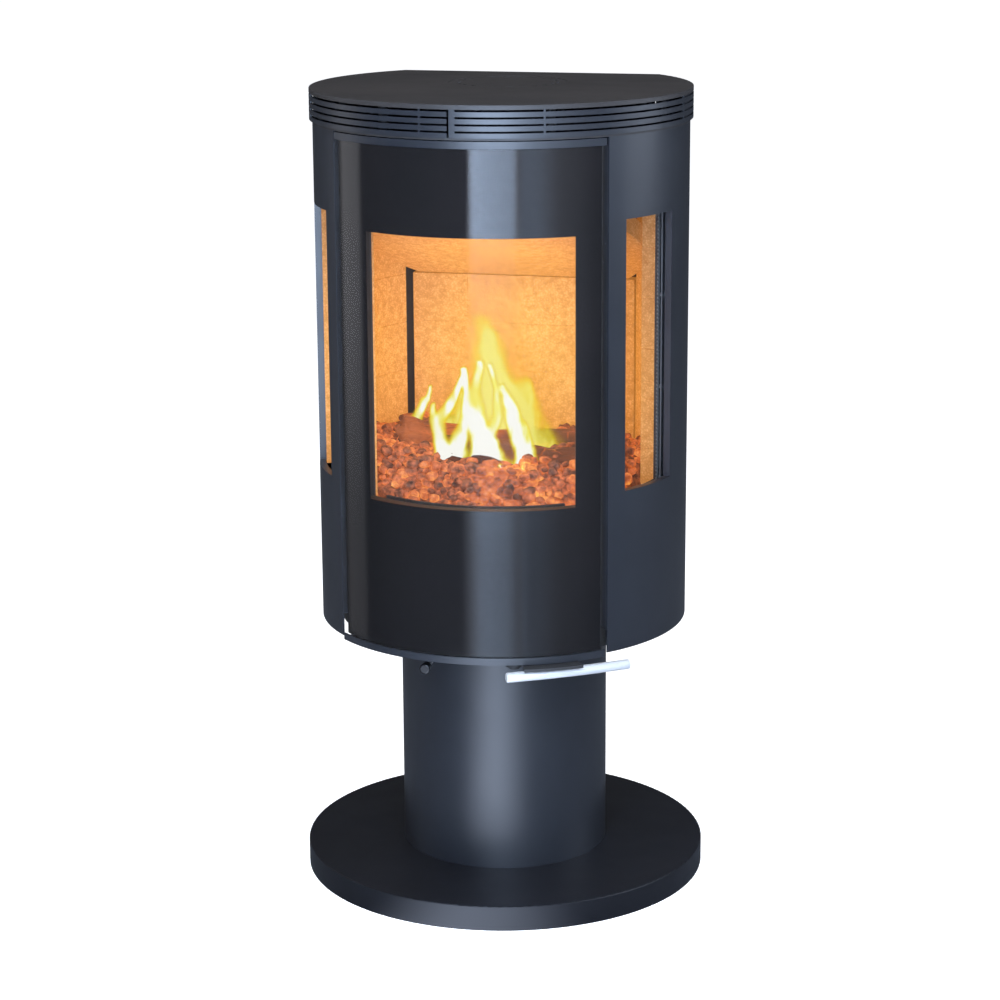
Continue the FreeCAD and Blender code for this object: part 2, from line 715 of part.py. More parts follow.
def hinge_brackets():
    """Arms on the body that reach under and over the door's corner."""
    solids = []
    pivot = polar(HINGE_RADIUS, HINGE_ANGLE)
    for level in (PANEL_BOTTOM, FIREBOX_TOP):
        arm = curved(SHELL_RADIUS, HINGE_RADIUS, -43.2, -40.8, level, level + PLATE)
        arm = fuse([arm, upright(pivot, 6.6, level, level + PLATE)])
        arm = arm.cut(upright(Vector(), SHELL_RADIUS, level - 1, level + PLATE + 1))
        solids.append(arm.cut(upright(pivot, HINGE_PIN, level - 1, level + PLATE + 1)))
    return group(solids)


def hinge_pins():
    """Pins fixed in the arms, each with a collar that spaces the door."""
    pivot = polar(HINGE_RADIUS, HINGE_ANGLE)
    lower = [upright(pivot, HINGE_PIN, PANEL_BOTTOM, 384), upright(pivot, 5.5, PANEL_BOTTOM + PLATE, 365.8)]
    upper = [upright(pivot, HINGE_PIN, 996, FIREBOX_TOP + PLATE), upright(pivot, 5.5, 1014.2, FIREBOX_TOP)]
    return group([fuse(lower), fuse(upper)])


# ---------------------------------------------------------------- door handle and latch
def handle_bar():
    """Round bar with softened ends, slightly bowed, on two short welded posts."""
    start, end = HANDLE_ENDS
    middle = (start + end) / 2
    half_angle = math.radians(end - start) / 2
    half_chord = HANDLE_RADIUS * math.sin(half_angle)
    bend = (half_chord ** 2 + HANDLE_BOW ** 2) / (2 * HANDLE_BOW)
    centre = polar(HANDLE_RADIUS * math.cos(half_angle) + HANDLE_BOW - bend, middle, HANDLE_Z)
    sweep = 2 * math.degrees(math.asin(half_chord / bend))
    first = middle - sweep / 2
    section = Part.makeCircle(HANDLE_BAR, centre + polar(bend, first), tangent(first))
    disc = Part.Face(Part.Wire(section))
    bar = disc.revolve(centre, Vector(0, 0, 1), sweep)
    bar = bar.makeFillet(1.8, [edge for edge in bar.Edges if is_end_circle(edge)])
    turns = (-0.3 * sweep, 0.02 * sweep)
    posts = [upright(centre + polar(bend, middle + turn), 4, HANDLE_Z, LEVER_Z[0]) for turn in turns]
    return bar.multiFuse(posts)


def tangent(angle):
    """Direction of travel along the curve at an angle."""
    turn = math.radians(angle)
    return Vector(math.cos(turn), math.sin(turn), 0)


def is_end_circle(edge):
    """True for the full circles at the bar's ends."""
    return edge.Curve.TypeId == "Part::GeomCircle" and abs(edge.Curve.Radius - HANDLE_BAR) < 0.01


def latch_lever():
    """Flat lever under the door: it carries the bar and ends in a hook."""
    pivot = polar(*LEVER_PIVOT)
    low, high = LEVER_Z
    strip = curved(226, 264, 19, 36, low, high)
    boss = upright(pivot, 11, low, high)
    neck = curved(226, 240, 16, 19.5, low, high)
    arm = curved(203, 228, 14.4, 18.0, low, high)
    tip = curved(203, 208, 11.6, 15.0, low, high)
    lever = fuse([strip, boss, neck, arm, tip])
    return lever.cut(upright(pivot, 4.05, low - 1, high + 1))


def lever_pivot_pin():
    """Shouldered pin through the lever and the lower rail, with a washer and nut on top."""
    pivot = polar(*LEVER_PIVOT)
    head = upright(pivot, 7, LEVER_Z[0] - 3.2, LEVER_Z[0] - 0.2)
    shank = upright(pivot, 4.0, LEVER_Z[0] - 0.2, DOOR_BOTTOM + 6)
    nut = upright(pivot, 5.8, DOOR_BOTTOM + PANEL, DOOR_BOTTOM + PANEL + 3.5)
    return fuse([head, shank, nut])


def latch_keeper():
    """Post on the stove's floor that the hook works against."""
    place = polar(213, 8.6)
    return upright(place, 4, LEVER_Z[0] - 3, PANEL_BOTTOM)


# ---------------------------------------------------------------- air control
def air_rod():
    return along_y(ROD_X, ROD_Z, ROD, KNOB_FRONT_Y + 6, -14)


def air_knob():
    """Small turned knob on the end of the rod."""
    knob = along_y(ROD_X, ROD_Z, 7, KNOB_FRONT_Y, KNOB_FRONT_Y + 13)
    knob = knob.makeFillet(2.0, [edge for edge in knob.Edges if edge.BoundBox.YLength < 0.01])
    return knob.cut(along_y(ROD_X, ROD_Z, ROD, KNOB_FRONT_Y + 6, 0))


def air_damper():
    """Plate that slides under the air port, with a tab clamped on the rod."""
    low = PANEL_BOTTOM - 2.6
    plate = box((ROD_X - 25, ROD_X + 25), (-62, -22), (low, low + PANEL))
    tab = box((ROD_X - 8, ROD_X + 8), (-44, -41), (ROD_Z - 7, low))
    return fuse([plate, tab]).cut(along_y(ROD_X, ROD_Z, ROD, -60, -20))


def damper_guides():
    """Two angle strips under the floor that carry the damper plate."""
    top = PANEL_BOTTOM
    side = box((ROD_X + 25.4, ROD_X + 28.4), (-96, -18), (top - 6.2, top))
    lip = box((ROD_X + 21, ROD_X + 25.4), (-96, -18), (top - 6.2, top - 3.1))
    right = fuse([side, lip])
    left = right.mirror(Vector(ROD_X, 0, 0), Vector(1, 0, 0))
    return group([left, right])


def rod_bush():
    """Bush in the column wall that guides the rod."""
    wall = -math.sqrt(COLUMN_RADIUS ** 2 - ROD_X ** 2)
    sleeve = along_y(ROD_X, ROD_Z, 2 * ROD, wall - 6, wall + 12)
    return sleeve.cut(along_y(ROD_X, ROD_Z, ROD + 0.06, wall - 7, wall + 13))


# ---------------------------------------------------------------- all nodes
def pair(shape):
    """The right-hand piece and its left-hand twin."""
    return [shape, mirrored(shape)]


def side_glass_gaskets():
    return group(pair(side_glass_gasket()))


def side_glass_clamps():
    return group(pair(side_clamp()))


def side_firebricks():
    return group([brick for course in pair(side_bricks()) for brick in course.Solids])


def side_glass_screws():
    return group([screw for one in side_screws() for screw in pair(one)])


def side_panel_right():
    return side_panel()


def side_panel_left():
    return mirrored(side_panel())


def side_glass_right():
    return side_glass()


def side_glass_left():
    return mirrored(side_glass())


NODES = (
    base_cover, base_bottom_plate, pedestal_column, column_flanges, flange_bolts, outside_air_spigot,
    body_floor, side_panel_left, side_panel_right, back_panel, back_panel_screws, panel_brackets,
    body_top_deck, top_grille_left, top_grille_right, top_plate, top_plate_posts, top_cover_ring,
    flue_cover, firebox_shell, firebox_front_frame, firebox_floor, firebox_top, flue_collar,
    flue_blanking_plate, blanking_plate_bolts, side_glass_left, side_glass_right, side_glass_gaskets,
    side_glass_clamps, side_glass_screws, side_firebricks, back_firebricks, hearth_bricks, grate,
    log_guard, baffle_plate, baffle_bar, ash_pan, logs, ember_bed, door_frame, door_top_rail,
    door_bottom_rail, door_glass, door_glass_gasket, door_seal_channel, door_seal_rope, hinge_blocks,
    hinge_brackets, hinge_pins, handle_bar, latch_lever, lever_pivot_pin, latch_keeper, air_rod, air_knob,
    air_damper, damper_guides, rod_bush,
)


def main():
    os.makedirs("parts", exist_ok=True)
    for maker in NODES:
        shape = maker()
        shape.exportStep("parts/" + maker.__name__ + ".step")
        print(maker.__name__, len(shape.Solids), round(shape.Volume / 1000, 1), "cm3", shape.isValid())
    print(len(NODES), "nodes")


main()
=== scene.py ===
"""Visual model of the wood burning stove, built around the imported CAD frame."""
import json
import math
import random

import bmesh
import bpy
import numpy as np
from mathutils import Matrix, Vector, noise


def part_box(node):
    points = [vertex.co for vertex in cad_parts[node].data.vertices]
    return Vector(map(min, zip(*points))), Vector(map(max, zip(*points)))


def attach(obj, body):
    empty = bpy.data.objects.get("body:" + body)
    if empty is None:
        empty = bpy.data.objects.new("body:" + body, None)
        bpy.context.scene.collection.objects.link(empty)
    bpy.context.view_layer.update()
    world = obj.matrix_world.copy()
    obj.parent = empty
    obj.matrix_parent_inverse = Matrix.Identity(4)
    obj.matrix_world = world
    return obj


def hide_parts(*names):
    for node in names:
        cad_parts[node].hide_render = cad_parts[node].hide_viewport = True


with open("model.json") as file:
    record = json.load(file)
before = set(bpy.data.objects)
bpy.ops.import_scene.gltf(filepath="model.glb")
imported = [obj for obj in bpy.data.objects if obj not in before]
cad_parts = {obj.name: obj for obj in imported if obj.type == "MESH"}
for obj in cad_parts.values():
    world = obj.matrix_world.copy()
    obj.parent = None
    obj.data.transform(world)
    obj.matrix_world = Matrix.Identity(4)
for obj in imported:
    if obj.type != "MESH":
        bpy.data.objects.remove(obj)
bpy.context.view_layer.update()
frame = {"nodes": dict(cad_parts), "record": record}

scene = bpy.context.scene

# Camera, in metres and degrees: it stands to the right of the door and looks down at the stove
CAMERA_TURN = 13.4738
CAMERA_AZIMUTH = 13.4
CAMERA_DISTANCE = 3.5716
CAMERA_HEIGHT = 1.4233
CAMERA_PITCH = 14.334
CAMERA_ROLL = -0.3343
FOCAL_LENGTH = 97.9
SENSOR_WIDTH = 36

# Door glass and its printed border, in metres and degrees from the front
PRINT_OUTER = 0.24475
PRINT_INNER = 0.24455
PRINT_EDGE = 43.9
WINDOW_LEFT = -31.0
WINDOW_RIGHT = 35.4
WINDOW_BOTTOM = 0.558
WINDOW_TOP = 0.905

# Firebox
HEARTH = 0.530
BED_RADIUS = 0.196
BED_BACK = 0.112
LOG_RADIUS = 0.031
COLDEST_FLAME = 0.03
FIRE_CENTRE = Vector((-0.01, -0.02, 0.68))


def polar(radius, degrees, z):
    """A point at an angle from the front, positive towards +X."""
    a = math.radians(degrees)
    return Vector((radius * math.sin(a), -radius * math.cos(a), z))


def smooth(low, high, value):
    """0 below low, 1 above high, and a smooth step between them."""
    t = np.clip((value - low) / (high - low), 0, 1)
    return t * t * (3 - 2 * t)


# ---------------------------------------------------------------- camera, world and lights

def make_camera():
    """The camera, slightly to the right of the door and above the stove."""
    data = bpy.data.cameras.new("camera")
    data.lens = FOCAL_LENGTH
    data.sensor_width = SENSOR_WIDTH
    camera = bpy.data.objects.new("camera", data)
    scene.collection.objects.link(camera)
    place = Matrix.Translation(polar(CAMERA_DISTANCE, CAMERA_AZIMUTH, CAMERA_HEIGHT))
    turn = Matrix.Rotation(math.radians(CAMERA_TURN), 4, "Z")
    pitch = Matrix.Rotation(math.radians(90 - CAMERA_PITCH), 4, "X")
    roll = Matrix.Rotation(math.radians(CAMERA_ROLL), 4, "Z")
    camera.matrix_world = place @ turn @ pitch @ roll
    scene.camera = camera


class Nodes:
    """Builds one node tree with short calls."""

    def __init__(self, tree, output):
        self.tree = tree
        tree.nodes.clear()
        self.output = tree.nodes.new(output)

    def add(self, kind, inputs=None, **settings):
        made = self.tree.nodes.new("ShaderNode" + kind)
        for key, value in settings.items():
            setattr(made, key, value)
        for key, value in (inputs or {}).items():
            self.set(made.inputs[key], value)
        return made

    def set(self, socket, value):
        if isinstance(value, bpy.types.NodeSocket):
            self.tree.links.new(value, socket)
        else:
            socket.default_value = value

    def math(self, operation, a, b=0.0, clamp=False):
        made = self.add("Math", {0: a, 1: b}, operation=operation, use_clamp=clamp)
        return made.outputs[0]

    def mix(self, factor, a, b, blend="MIX"):
        made = self.add("Mix", data_type="RGBA", blend_type=blend)
        for index, value in ((0, factor), (6, a), (7, b)):
            self.set(made.inputs[index], value)
        return made.outputs[2]

    def ramp(self, factor, stops, ease="LINEAR"):
        made = self.add("ValToRGB", {0: factor})
        ramp = made.color_ramp
        ramp.interpolation = ease
        for index, (position, colour) in enumerate(stops):
            element = ramp.elements[index] if index < 2 else ramp.elements.new(position)
            element.position = position
            element.color = tuple(colour) + (1.0,) * (4 - len(colour))
        return made.outputs[0]

    def grey_ramp(self, factor, stops, ease="LINEAR"):
        """A ramp whose stops are a position and one grey level."""
        return self.ramp(factor, [(position, (level,) * 3) for position, level in stops], ease)

    def grey(self, factor, low, high, start=0.0, end=1.0):
        """factor's range start to end becomes low to high."""
        made = self.add("MapRange", {0: factor, 1: start, 2: end, 3: low, 4: high})
        return made.outputs[0]

    def attribute(self, name):
        return self.add("Attribute", attribute_name=name, attribute_type="GEOMETRY").outputs["Fac"]


class Look(Nodes):
    """One procedural material."""

    def __init__(self, name):
        self.material = bpy.data.materials.new(name)
        self.material.use_nodes = True
        super().__init__(self.material.node_tree, "ShaderNodeOutputMaterial")
        self.place = self.add("TexCoord").outputs["Object"]

    def stretched(self, x, y, z):
        return self.add("Mapping", {"Vector": self.place, "Scale": (x, y, z)}).outputs[0]

    def noise(self, scale, detail=3.0, rough=0.5, place=None, distortion=0.0):
        inputs = {"Vector": place or self.place, "Scale": scale, "Detail": detail,
                  "Roughness": rough, "Distortion": distortion}
        return self.add("TexNoise", inputs).outputs["Fac"]

    def cells(self, scale, feature="F1", place=None):
        made = self.add("TexVoronoi", {"Vector": place or self.place, "Scale": scale}, feature=feature)
        return made.outputs["Distance"]

    def bump(self, height, distance, strength=1.0, normal=None):
        inputs = {"Height": height, "Distance": distance, "Strength": strength}
        if normal is not None:
            inputs["Normal"] = normal
        return self.add("Bump", inputs).outputs[0]

    def surface(self, **sockets):
        """Principled surface: names are its sockets, with underscores for spaces."""
        shader = self.add("BsdfPrincipled")
        for key, value in sockets.items():
            self.set(shader.inputs[key.replace("_", " ")], value)
        self.finish(shader.outputs[0])
        return self.material

    def finish(self, socket):
        self.tree.links.new(socket, self.output.inputs["Surface"])


def make_world():
    """A white surround, dimmer behind the stove and bluish on its right as seen in reflections."""
    world = bpy.data.worlds.new("studio")
    world.use_nodes = True
    scene.world = world
    n = Nodes(world.node_tree, "ShaderNodeOutputWorld")
    direction = n.add("TexCoord").outputs["Generated"]
    axes = n.add("SeparateXYZ", {0: direction}).outputs
    side = n.grey(axes[0], 0.0, 1.0, -0.6, 0.8)
    tint = n.mix(side, (0.25, 0.24, 0.24, 1), (0.30, 0.36, 0.46, 1))
    depth = n.grey_ramp(n.grey(axes[1], 0.0, 1.0, -1.0, 1.0), [(0.0, 1.1), (0.45, 0.8), (1.0, 0.22)])
    light = n.mix(1.0, tint, depth, "MULTIPLY")
    shown = n.add("LightPath").outputs["Is Camera Ray"]
    colour = n.mix(shown, light, (1.0, 1.0, 1.0, 1))
    sky = n.add("Background", {"Color": colour, "Strength": 1.0})
    n.tree.links.new(sky.outputs[0], n.output.inputs["Surface"])


def mesh_object(name, vertices, faces, material=None, shade_smooth=True):
    """A new mesh object in the scene."""
    mesh = bpy.data.meshes.new(name)
    mesh.from_pydata([tuple(v) for v in vertices], [], faces)
    mesh.update()
    mesh.polygons.foreach_set("use_smooth", [shade_smooth] * len(mesh.polygons))
    made = bpy.data.objects.new(name, mesh)
    scene.collection.objects.link(made)
    if material:
        mesh.materials.append(material)
    return made


def set_attribute(made, name, values):
    """One number for each vertex, for the material to read."""
    attribute = made.data.attributes.new(name, "FLOAT", "POINT")
    attribute.data.foreach_set("value", np.asarray(values, np.float32))


def light_wall():
    """A tall curved screen of light in front of the stove, never seen directly.
    Its bright part gives the streak down the door. It is weaker at the right and faint at the far left."""
    columns, rows, radius, height = 180, 44, 1.35, 2.2
    vertices, faces, levels, blues = [], [], [], []
    for j in range(rows + 1):
        z = height * j / rows
        for i in range(columns + 1):
            azimuth = -100 + 180 * i / columns
            vertices.append(polar(radius, azimuth, z))
            soft = 6 * (1 - float(smooth(0.2, 0.9, z)))
            streak = float(smooth(-6 - soft, -2.5 + soft, azimuth)
                           * (1 - smooth(19 - soft, 24 + soft, azimuth)))
            second = float(smooth(21, 25, azimuth) * (1 - smooth(30, 50, azimuth)))
            wide = float(smooth(18, 26, azimuth) * (1 - smooth(48, 72, azimuth)))
            room = float(smooth(-96, -90, azimuth) * (1 - smooth(-78, -72, azimuth)))
            lift = 0.35 + 0.65 * float(smooth(0.15, 0.65, z))
            fade = float(1 - smooth(1.8, 2.2, z))
            slope = 1 - 0.017 * float(np.clip(azimuth + 2, 0, 22))
            levels.append(lift * fade * (8.5 * slope * streak + 1.2 * second + 0.5 * wide + 1.1 * room))
            blues.append(0.35 * float(azimuth > -20) + 0.65 * max(streak, second))
    for j in range(rows):
        for i in range(columns):
            a = j * (columns + 1) + i
            faces.append((a, a + columns + 1, a + columns + 2, a + 1))
    wall = mesh_object("light_wall", vertices, faces)
    set_attribute(wall, "level", levels)
    set_attribute(wall, "blue", blues)
    look = Look("light_wall")
    tint = look.mix(look.attribute("blue"), (1.0, 1.0, 1.05, 1), (0.95, 1.2, 1.62, 1))
    glow = look.add("Emission", {"Color": tint, "Strength": look.attribute("level")})
    look.finish(glow.outputs[0])
    wall.data.materials.append(look.material)
    wall.visible_camera = False
    wall.visible_shadow = False
    wall.visible_transmission = False


def area_light(name, place, target, size, energy, colour, glossy=True):
    """A rectangular light aimed at the target. With glossy off, reflections do not show it."""
    data = bpy.data.lights.new(name, "AREA")
    data.shape = "RECTANGLE"
    data.size, data.size_y = size
    data.energy = energy
    data.color = colour
    made = bpy.data.objects.new(name, data)
    made.location = place
    made.rotation_euler = (Vector(target) - Vector(place)).to_track_quat("-Z", "Y").to_euler()
    made.visible_camera = False
    made.visible_glossy = glossy
    scene.collection.objects.link(made)


def make_lights():
    """The light wall, three soft studio lights and two small orange lights in the fire."""
    light_wall()
    area_light("overhead", (0.2, -0.6, 3.2), (0, 0, 0.5), (3.2, 3.2), 48, (1.0, 0.99, 0.97), glossy=False)
    area_light("left_fill", (-2.6, -0.6, 1.4), (0, 0, 0.6), (1.0, 1.8), 12, (1.0, 0.98, 0.96), glossy=False)
    area_light("right_fill", (2.6, 0.5, 1.6), (0, 0, 0.6), (1.4, 2.0), 30, (0.82, 0.92, 1.1))
    fire_lights = (("fire_light", (-0.02, -0.07, 0.72), 1.0), ("coal_light", (0.03, -0.1, 0.60), 0.3))
    for name, place, energy in fire_lights:
        data = bpy.data.lights.new(name, "POINT")
        data.energy = energy
        data.color = (1.0, 0.50, 0.16)
        data.shadow_soft_size = 0.06
        made = bpy.data.objects.new(name, data)
        made.location = place
        scene.collection.objects.link(made)


def make_floor():
    """A plain pale floor that runs out of view. Reflections see it dark, with a pool of light in front."""
    reach = 40
    corners = [(-reach, -reach, 0), (reach, -reach, 0), (reach, reach, 0), (-reach, reach, 0)]
    floor = mesh_object("floor", corners, [(0, 1, 2, 3)])
    look = Look("pale_floor")
    tone = look.grey(look.noise(0.7, 2), 0.88, 0.92)
    shown = look.add("LightPath").outputs["Is Camera Ray"]
    sides = look.add("SeparateXYZ", {0: look.place}).outputs
    azimuth = look.math("ARCTAN2", sides[0], look.math("MULTIPLY", sides[1], -1.0))
    band = look.grey_ramp(look.grey(azimuth, 0.0, 1.0, -0.55, 0.70), [(0.0, 0), (0.46, 1), (1.0, 0)], "EASE")
    pool = look.math("MULTIPLY", look.math("MULTIPLY", band, look.math("SUBTRACT", 1.0, shown)), 4.2)
    glow = look.math("ADD", look.grey(shown, 0.03, 0.85), pool)
    tint = look.mix(shown, (0.80, 0.92, 1.15, 1), (1, 1, 1, 1))
    shade = look.mix(shown, (0.16, 0.17, 0.19, 1), tone)
    floor.data.materials.append(look.surface(Base_Color=shade, Roughness=0.9, Specular_IOR_Level=0.0,
                                             Emission_Color=tint, Emission_Strength=glow))


# ---------------------------------------------------------------- materials

def paint(name, dark, light, rough, gloss=0.5, spray=0.00012):
    """Sprayed heat-resistant paint: soft colour clouds, a sprayed grain and uneven sheen."""
    look = Look(name)
    cloud = look.noise(5.5, 4, 0.6)
    colour = look.ramp(cloud, [(0.3, dark), (0.7, light)])
    sheen = look.grey(look.noise(14, 3), rough - 0.035, rough + 0.035, 0.25, 0.75)
    grain = look.add("Math", {0: look.noise(1100, 2), 1: look.noise(260, 3)}, operation="ADD").outputs[0]
    normal = look.bump(grain, spray, 0.5)
    return look.surface(Base_Color=colour, Roughness=sheen, Normal=normal, Specular_IOR_Level=gloss)


def brushed(name, colour, rough, along=(1, 1, 1), metal=1.0):
    """Metal with fine brushing lines along one axis."""
    look = Look(name)
    lines = look.noise(420, 3, 0.6, look.stretched(*along))
    shade = look.ramp(lines, [(0.25, tuple(c * 0.86 for c in colour)), (0.75, colour)])
    roughness = look.grey(lines, rough - 0.06, rough + 0.08)
    normal = look.bump(lines, 0.00005, 0.4)
    return look.surface(Base_Color=shade, Metallic=metal, Roughness=roughness, Normal=normal)


def clear_glass(name):
    """Ceramic glass, nearly clear, with a thin film of soot."""
    look = Look(name)
    soot = look.grey(look.noise(9, 3), 0.02, 0.07, 0.3, 0.8)
    tint = look.ramp(look.noise(4, 2), [(0.3, (0.05, 0.045, 0.04)), (0.7, (0.07, 0.06, 0.05))])
    return look.surface(Base_Color=tint, Roughness=soot, Alpha=0.08, IOR=1.45, Specular_IOR_Level=0.4)


def black_enamel(name):
    """Glossy black enamel with slow waves, as on printed glass."""
    look = Look(name)
    tone = look.ramp(look.noise(7, 3), [(0.3, (0.006, 0.006, 0.007)), (0.7, (0.009, 0.008, 0.009))])
    rough = look.grey(look.noise(11, 3), 0.045, 0.075, 0.3, 0.7)
    waves = look.bump(look.noise(3.2, 2, 0.4, look.stretched(1, 1, 0.35)), 0.0007, 0.35)
    return look.surface(Base_Color=tone, Roughness=rough, Normal=waves, IOR=1.45)


def woven(name, dark, light):
    """Glass-fibre rope or tape: a fine diagonal braid."""
    look = Look(name)

    def strands(direction):
        inputs = {"Vector": look.stretched(direction, 1, 1), "Scale": 120.0, "Distortion": 1.2}
        return look.add("TexWave", inputs, bands_direction="DIAGONAL").outputs["Fac"]

    braid = look.math("MULTIPLY", strands(1), strands(-1))
    fibre = look.math("ADD", braid, look.grey(look.noise(900, 2), 0.0, 0.4))
    colour = look.ramp(fibre, [(0.1, dark), (0.9, light)])
    normal = look.bump(fibre, 0.0006, 0.8)
    return look.surface(Base_Color=colour, Roughness=0.85, Normal=normal, Sheen_Weight=0.3)


def firebrick(name, glow):
    """Vermiculite board: pale flecks, sooty patches, and a painted firelight glow that fades away from the
    fire.
    """
    look = Look(name)
    flecks = look.cells(330)
    grain = look.math("ADD", look.grey(flecks, 0.5, 0.0, 0.0, 0.6), look.noise(120, 4))
    base = look.ramp(grain, [(0.25, (0.30, 0.16, 0.06)), (0.6, (0.42, 0.25, 0.10)),
                             (0.95, (0.56, 0.38, 0.18))])
    soot = look.grey(look.noise(7, 4, 0.6), 0.0, 0.55, 0.5, 0.75)
    colour = look.mix(soot, base, (0.20, 0.10, 0.05, 1))
    # Painted firelight: the board glows orange to yellow, most strongly near FIRE_CENTRE and less with
    # distance from it.
    offset = look.add("VectorMath", {0: look.place, 1: tuple(FIRE_CENTRE)}, operation="DISTANCE")
    near = look.grey(offset.outputs["Value"], 1.0, 0.35, 0.10, 0.30)
    warm = look.ramp(near, [(0.2, (0.66, 0.20, 0.035)), (0.65, (0.78, 0.30, 0.03)),
                            (1.0, (0.88, 0.48, 0.03))])
    strength = look.math("MULTIPLY", look.grey(grain, 0.85, 1.1), look.math("MULTIPLY", near, glow))
    return look.surface(Base_Color=colour, Roughness=0.95, Normal=look.bump(grain, 0.0008, 0.7),
                        Emission_Color=warm, Emission_Strength=strength)


def cast_iron(name):
    """Rough dark iron with faint rust."""
    look = Look(name)
    grain = look.noise(380, 4, 0.65)
    colour = look.ramp(grain, [(0.3, (0.03, 0.028, 0.027)), (0.75, (0.075, 0.07, 0.068))])
    rust = look.grey(look.noise(16, 4, 0.6), 0.0, 0.5, 0.55, 0.8)
    mixed = look.mix(rust, colour, (0.16, 0.06, 0.025, 1))
    return look.surface(Base_Color=mixed, Roughness=0.72, Metallic=0.4, Normal=look.bump(grain, 0.0006, 0.7))


def charred(name):
    """Burning wood: bark fibres along the log, black char, glowing cracks, and painted firelight over the
    whole log.
    """
    look = Look(name)
    fibre = look.noise(60, 5, 0.65, look.stretched(0.18, 1, 1))
    char = look.attribute("char")
    wood = look.ramp(fibre, [(0.3, (0.10, 0.030, 0.009)), (0.55, (0.20, 0.065, 0.020)),
                             (0.8, (0.32, 0.12, 0.04))])
    black = look.ramp(fibre, [(0.3, (0.012, 0.008, 0.006)), (0.8, (0.05, 0.03, 0.022))])
    colour = look.mix(char, wood, black)
    blocks = look.cells(75, "DISTANCE_TO_EDGE", look.stretched(0.6, 1, 1))
    crack = look.grey(blocks, 1.0, 0.0, 0.0, 0.07)
    live = look.grey(look.noise(19, 3, 0.6), 0.0, 1.0, 0.52, 0.70)
    glow = look.math("MULTIPLY", look.math("MULTIPLY", crack, live), look.grey(char, 0.0, 1.0))
    # Emission strength: the glowing cracks, plus a painted firelight glow over the whole log that follows
    # the fibres and is weaker where the wood is charred.
    lit = look.math("ADD", look.math("MULTIPLY", glow, 1.6), look.grey(fibre, 0.40, 0.95, 0.3, 0.8))
    # The ramp's first stop is the orange-brown of the painted firelight. The later stops colour the glowing
    # cracks.
    ember = look.ramp(glow, [(0.0, (0.42, 0.105, 0.022)), (0.3, (0.80, 0.14, 0.012)),
                             (0.95, (1.0, 0.56, 0.08))])
    dimmed = look.math("MULTIPLY", lit, look.grey(char, 1.0, 0.22))
    height = look.math("ADD", fibre, look.grey(blocks, 0.0, 0.6, 0.0, 0.12))
    return look.surface(Base_Color=colour, Roughness=0.88, Normal=look.bump(height, 0.0024, 0.9),
                        Emission_Color=ember, Emission_Strength=dimmed)


def coals(name):
    """Glowing embers: each lump has its own warmth, ashy where cool and bright in its hot hollows."""
    look = Look(name)
    warmth = look.attribute("warmth")
    patch = look.noise(95, 4, 0.6)
    mottle = look.grey(patch, -0.28, 0.28, 0.25, 0.75)
    level = look.math("ADD", look.math("MULTIPLY", warmth, 0.85), mottle, clamp=True)
    ash = look.ramp(patch, [(0.3, (0.05, 0.022, 0.012)), (0.7, (0.22, 0.12, 0.07))])
    glow = look.ramp(level, [(0.0, (0.06, 0.012, 0.003)), (0.22, (0.30, 0.06, 0.012)),
                             (0.45, (0.72, 0.14, 0.02)), (0.70, (0.86, 0.30, 0.05)),
                             (0.88, (1.0, 0.54, 0.05)), (1.0, (1.0, 0.80, 0.25))])
    strength = look.grey_ramp(level, [(0.0, 0.25), (0.35, 0.80), (0.7, 1.1), (1.0, 1.4)])
    return look.surface(Base_Color=ash, Roughness=0.95, Normal=look.bump(patch, 0.002, 0.8),
                        Emission_Color=glow, Emission_Strength=strength)


def flame(name):
    """Flame: orange and clear at its edge, then yellow, and white where it is hottest."""
    look = Look(name)
    warmth = look.attribute("warmth")
    colour = look.ramp(warmth, [(0.0, (0.84, 0.36, 0.012)), (0.25, (0.90, 0.56, 0.010)),
                                (0.48, (0.93, 0.74, 0.012)), (0.68, (0.92, 0.86, 0.14)),
                                (0.80, (0.96, 0.94, 0.42)), (0.92, (1.0, 1.0, 0.93))])
    alpha = look.grey_ramp(warmth, [(0.0, 0), (0.15, 0.04), (0.45, 0.55), (0.7, 0.90), (0.85, 1)])
    glow = look.add("Emission", {"Color": colour, "Strength": 1.08})
    clear = look.add("BsdfTransparent")
    mixed = look.add("MixShader", {0: alpha, 1: clear.outputs[0], 2: glow.outputs[0]})
    look.finish(mixed.outputs[0])
    return look.material


